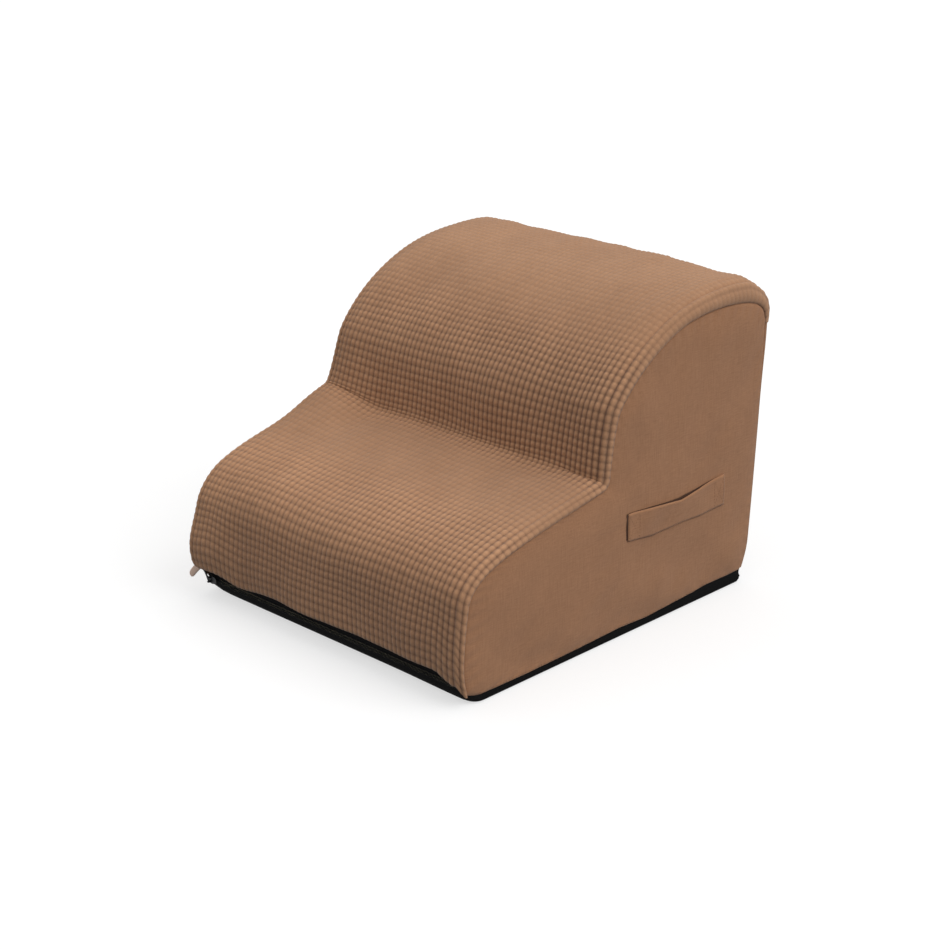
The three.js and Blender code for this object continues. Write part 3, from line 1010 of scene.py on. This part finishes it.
# Outlines of the tray's shell, from under the floor, round the rim and back inside
TRAY_LEVELS = np.array([
    (150, 60, 370, 20, 0.8, 0),
    (197.5, 11, 415, 22, 0.6, 17),
    (199.2, 7.5, 418, 20, 1.5, 13.5),
    (199.4, 4, 420, 19, 3.4, 10),
    (198, -0.5, 421, 17, 5.2, 5.5),
    (195.8, -4.2, 420.3, 14, 7.6, 1.8),
    (195.6, -5.8, 420.3, 13, 9.8, 0),
    (195.6, -6, 420.3, 12, 11.6, 0),
    (195.1, -5.5, 419.8, 12, 12, 0),
    (194.2, -4.6, 418.9, 11, 11.6, 0),
    (194.1, -4.5, 418.8, 11, 10.4, 0),
    (194, -3, 418.7, 12, 8.8, 0),
    (194, 0.4, 418.7, 13, 6.6, 0),
    (194, 4.6, 418.7, 14, 4.8, 0),
    (193.5, 9, 418, 15, 3, 0),
    (192, 16, 416, 15, 2.4, 0),
    (150, 60, 370, 20, 2.3, 0),
]) * MM
DOT_PITCH = 16 * MM
DOT_ROWS, DOT_COLUMNS = 24, 23
# A dot's profile (radius, z), and the part of the floor that has dots
DOT = np.array([(3.4, 0.95), (3.2, 0.35), (2.5, 0.05), (1.2, 0)]) * MM
DOTS_HALF, DOTS_FRONT, DOTS_BACK = 182 * MM, 24 * MM, 402 * MM


def build_tray():
    rings = ring_run(TRAY_LEVELS)
    obj = make_object("base_tray_shell", rings, tube_faces(*rings.shape[:2]))
    place(obj, "base", "base_and_foam", "base_cloth", "base_tray")


def build_dots():
    """Anti-slip dots under the base, in staggered rows."""
    angles = np.arange(12) * math.tau / 12
    dome = frame_points(DOT[:, :1] * np.cos(angles), DOT[:, :1] * np.sin(angles), DOT[:, 1:])
    faces = tube_faces(*dome.shape[:2], flip=True)
    pieces = []
    for row in range(DOT_ROWS):
        for column in range(DOT_COLUMNS):
            x = (column - DOT_COLUMNS // 2 + 0.5 * (row % 2)) * DOT_PITCH
            y = DOTS_FRONT + row * DOT_PITCH
            if abs(x) <= DOTS_HALF and y <= DOTS_BACK:
                pieces.append((dome.reshape(-1, 3) + (x, y, 0), faces))
    obj = make_object("base_tray_dots", *joined(pieces))
    place(obj, "rubber", "base_and_foam", "base_cloth", "base_tray")


# Zip

ZIP_HALF, ZIP_FRONT, ZIP_BACK, ZIP_CORNER = 196.4 * MM, -6.7 * MM, 421 * MM, 12 * MM
ZIP_Z = 18 * MM
ZIP_PITCH = 1.9 * MM
# Centre line of a tooth: height away from the zip's middle, and how far it stands out
TOOTH = np.array([
    (2.5, 0.1), (1.9, 0.75), (1.0, 0.85), (0.2, 0.75), (-0.1, 0.1), (0.2, -0.6), (1.9, -0.6), (2.5, -0.1),
]) * MM
TOOTH_RADIUS = 0.42 * MM
TOOTH_SIDES = 4
# Each row of the zip: its name and the body and the part that carry it
ZIP_ROWS = {1: ("upper", "cover", "cover_lining"), -1: ("lower", "base_and_foam", "base_tray")}
# Outlines of each tape
TAPE_LEVELS = {
    -1: [
        (196.8, -7.1, 421.4, 12, 15.4, 0),
        (196.6, -6.9, 421.2, 12, 12.5, 0),
        (196.2, -6.5, 421, 12.5, 9.6, 0),
        (196.6, -4.9, 421.3, 14.5, 7.3, 2.2),
        (198.5, -1, 421.6, 17, 4.9, 6),
    ],
    1: [
        (196.8, -7.1, 421.4, 12, 20.6, 0),
        (196.8, -7.1, 421.4, 12, 24, 0),
        (196.6, -6.9, 421.2, 12, 28, 0),
        (196.4, -6.7, 421, 12, 31.4, 0),
    ],
}


def zip_path():
    """Evenly spaced points round the zip, and the directions along it and outwards."""
    plan = rounded_plan(ZIP_HALF, ZIP_FRONT, ZIP_BACK, ZIP_CORNER)
    plan = np.vstack([plan, plan[:1]])
    arc = arc_lengths(plan)
    count = int(arc[-1] / ZIP_PITCH)
    where = np.arange(count) * arc[-1] / count
    spots = np.column_stack([np.interp(where, arc, plan[:, k]) for k in (0, 1)])
    along = unit(np.roll(spots, -1, 0) - np.roll(spots, 1, 0))
    return spots, along, np.column_stack([along[:, 1], -along[:, 0]])


def tooth(spot, along, outward, up):
    """Points of one bent wire tooth, in rings."""
    height, proud = TOOTH[:, :1], TOOTH[:, 1:]
    angles = np.arange(TOOTH_SIDES) * math.tau / TOOTH_SIDES
    across = TOOTH_RADIUS * np.cos(angles)
    push = proud + TOOTH_RADIUS * np.sin(angles) * np.where(proud > 0, 1, -1)
    x, y = (spot[k] + along[k] * across + outward[k] * push for k in (0, 1))
    z = ZIP_Z + up * (height + 0.15 * MM) + corner_rise(x, y)
    return frame_points(x, y, z).reshape(-1, 3)


def build_coil(up):
    """One half of the zip: a row of bent teeth that stand between those of the other half."""
    spots, along, outward = zip_path()
    spots = spots + along * up * ZIP_PITCH / 4
    clear = (spots[:, 0] > -187 * MM) | (spots[:, 1] > 12 * MM)
    faces = tube_faces(len(TOOTH), TOOTH_SIDES)
    places = zip(spots[clear], along[clear], outward[clear])
    points, faces = joined([(tooth(*where, up), faces) for where in places])
    row, body, _ = ZIP_ROWS[up]
    obj = make_object(f"zip_coil_{row}_teeth", points, faces)
    place(obj, "coil", body, "zip_coil", "zip_coil_" + row)


def build_tape(up):
    """Woven tape that carries one row of teeth; the lower one is sewn round the base's nose."""
    rings = ring_run(np.array(TAPE_LEVELS[up]) * MM)
    rings = np.concatenate([rings, rings[:, :1]], 1)
    row, body, under = ZIP_ROWS[up]
    obj = grid_object(f"zip_tape_{row}_weave", rings, flip=up > 0)
    place(obj, "tape", body, "zip_tape", "zip_tape_" + row)


def bevelled(obj, width, segments):
    bevel = obj.modifiers.new("edges", "BEVEL")
    bevel.width = width
    bevel.segments = segments
    bevel.limit_method = "ANGLE"
    return obj


def slab(outline, low, high, axes):
    """Prism over an outline in millimetres; axes are those of its two directions and its depth."""
    points = np.zeros((2, len(outline), 3))
    points[:, :, axes[:2]] = outline
    points[:, :, axes[2]] = [[low], [high]]
    points = frame_points(*(points.reshape(-1, 3) * MM).T)
    return points, tube_faces(2, len(outline))


def oval(x0, x1, v0, v1, count=28, power=0.6):
    """Rounded rectangle as an outline."""
    a = np.arange(count) * math.tau / count
    u, v = (np.sign(wave) * np.abs(wave) ** power for wave in (np.cos(a), np.sin(a)))
    return np.column_stack([(x0 + x1) / 2 + u * (x1 - x0) / 2, (v0 + v1) / 2 + v * (v1 - v0) / 2])


def build_slider():
    """Two plates round the teeth, joined by a post, with lugs and a pin for the pull."""
    upright, flat = [0, 2, 1], [0, 1, 2]
    middle = ZIP_Z / MM
    plate = oval(-187, -175, middle - 4.8, middle + 4.8)
    taper = np.interp(plate[:, 0], (-187, -181, -175), (1, 0.95, 0.62))
    plate[:, 1] = middle + (plate[:, 1] - middle) * taper
    post = oval(-187, -184.5, middle - 0.25, middle + 0.25)
    lug = oval(-187.2, -183.6, -13, -9)
    pin = oval(-186, -184.8, -12.3, -11.1, 16, 1)
    parts = [
        slab(plate, -9.6, -8.4, upright),
        slab(plate, -5.2, -4.1, upright),
        slab(post, -8.6, -5.0, upright),
        slab(lug, 14.9, 16.0, flat),
        slab(lug, 20.0, 21.1, flat),
        slab(pin, 15.5, 20.5, flat),
    ]
    obj = make_object("zip_slider_body", *joined(parts), smooth=False)
    place(bevelled(obj, 0.2 * MM, 2), "metal", "slider", "zip_metal", "zip_slider")


# Stations of the pull: x, z, half width, half thickness
PULL_Y = -11.7 * MM
LINK = [
    (-185.2, 17.2, 1.4, 0.7), (-186.6, 19.2, 1.3, 0.7), (-188.6, 23.4, 1.2, 0.7), (-192, 27.4, 1.3, 0.7),
    (-196, 29.3, 1.5, 0.7), (-200.5, 30.2, 1.8, 0.6),
]
TAB = [
    (-199.2, 30.6, 1.8, 0.8), (-200.4, 29.6, 3.3, 1.1), (-203, 27.6, 3.9, 1.3), (-206, 25.0, 4.0, 1.3),
    (-209, 22, 4.0, 1.3), (-212, 18.8, 4.0, 1.3), (-214.4, 15.8, 3.6, 1.1), (-215.6, 14.2, 2.0, 0.8),
]


def build_pull(name, stations, key):
    """A flat piece that sags from the slider's pin."""
    stations = np.array(stations) * MM
    t = np.linspace(0, 1, 8 * len(stations))
    base = np.linspace(0, 1, len(stations))
    x, z, half, thick = (np.interp(t, base, stations[:, k]) for k in range(4))
    spine = smoothed(np.column_stack([x, z]), 2.5)
    along = unit(np.gradient(spine, axis=0))
    angles = np.arange(20) * math.tau / 20
    wide = half[:, None] * np.sign(np.cos(angles)) * np.abs(np.cos(angles)) ** 0.6
    deep = thick[:, None] * np.sign(np.sin(angles)) * np.abs(np.sin(angles)) ** 0.8
    x, z = spine[:, :1] - along[:, 1:] * wide, spine[:, 1:] + along[:, :1] * wide
    points = frame_points(x, PULL_Y - deep, z)
    obj = make_object(name, points, tube_faces(*points.shape[:2]))
    place(obj, key, "pull", "pull_tab", "zip_pull")


# Stage


def build_stage():
    """A pale floor just under the object, which only shows from above."""
    signs = ((-1, -1), (1, -1), (1, 1), (-1, 1))
    corners = [(x * FLOOR_REACH, y * FLOOR_REACH, -0.2 * MM) for x, y in signs]
    floor = make_object("floor", corners, [(0, 1, 2, 3)], smooth=False)
    n = Nodes.of_material("floor_white")
    floor.data.materials.append(n.finish((0.42, 0.42, 0.42, 1), 0.9))
    shader = n.tree.nodes["Principled BSDF"]
    shader.inputs["Emission Color"].default_value = (1, 1, 1, 1)
    shader.inputs["Emission Strength"].default_value = 0.62
    under = n.add("ShaderNodeNewGeometry").outputs["Backfacing"]
    clear = n.add("ShaderNodeBsdfTransparent").outputs[0]
    mix = n.add("ShaderNodeMixShader", {0: under, 1: shader.outputs[0], 2: clear}).outputs[0]
    n.feed(n.tree.nodes["Material Output"].inputs["Surface"], mix)
    floor.visible_diffuse = False


def build_sky():
    """A bright ceiling that fades towards the horizon."""
    world = bpy.data.worlds.new("studio")
    n = Nodes(world)
    direction = n.add("ShaderNodeTexCoord").outputs["Generated"]
    rise = n.add("ShaderNodeVectorMath", {0: direction, 1: (0, 0.04, 1)}, operation="DOT_PRODUCT")
    sky = n.ramp(rise.outputs["Value"], (0.1, 0.1, 0.1), (0.9, 0.9, 0.9))
    seen = n.add("ShaderNodeLightPath").outputs["Is Camera Ray"]
    background = n.tree.nodes["Background"]
    n.feed(background.inputs["Color"], n.mix(seen, sky, (0.85, 0.85, 0.85, 1)))
    background.inputs["Strength"].default_value = 1.17
    bpy.context.scene.world = world


def build_lamp():
    """A large soft lamp from the right."""
    sun = bpy.data.lights.new("softbox", "SUN")
    sun.energy = 1.31
    sun.angle = math.radians(50)
    lamp = linked(bpy.data.objects.new("softbox", sun))
    lamp.rotation_mode = "QUATERNION"
    lamp.rotation_quaternion = LAMP_DIRECTION.to_track_quat("Z", "Y")


def build_camera():
    data = bpy.data.cameras.new("camera")
    data.sensor_width = 36
    data.lens = LENS
    data.clip_end = 100
    camera = linked(bpy.data.objects.new("camera", data))
    camera.location = CAMERA_SPOT
    camera.rotation_euler = (math.pi / 2 - CAMERA_ELEVATION, 0, CAMERA_AZIMUTH)
    bpy.context.scene.camera = camera
    bpy.context.scene.view_settings.view_transform = "Standard"


build_camera()
build_sky()
build_lamp()
build_stage()
build_strip()
build_lining()
for side in (-1, 1):
    build_ridge(side)
    build_back_seam(side)
    build_side(side)
    build_handle(side)
build_back()
build_foam("foam_core", "foam_firm", "foam")
build_foam("foam_topper", "foam_soft", "soft")
build_tray()
build_dots()
for up in (-1, 1):
    build_coil(up)
    build_tape(up)
build_pull("zip_pull_link", LINK, "metal")
build_pull("zip_pull_tab", TAB, "pull")
build_slider()
bevelled(dress(bpy.data.objects["zip_stop"], "metal"), 0.3 * MM, 3)
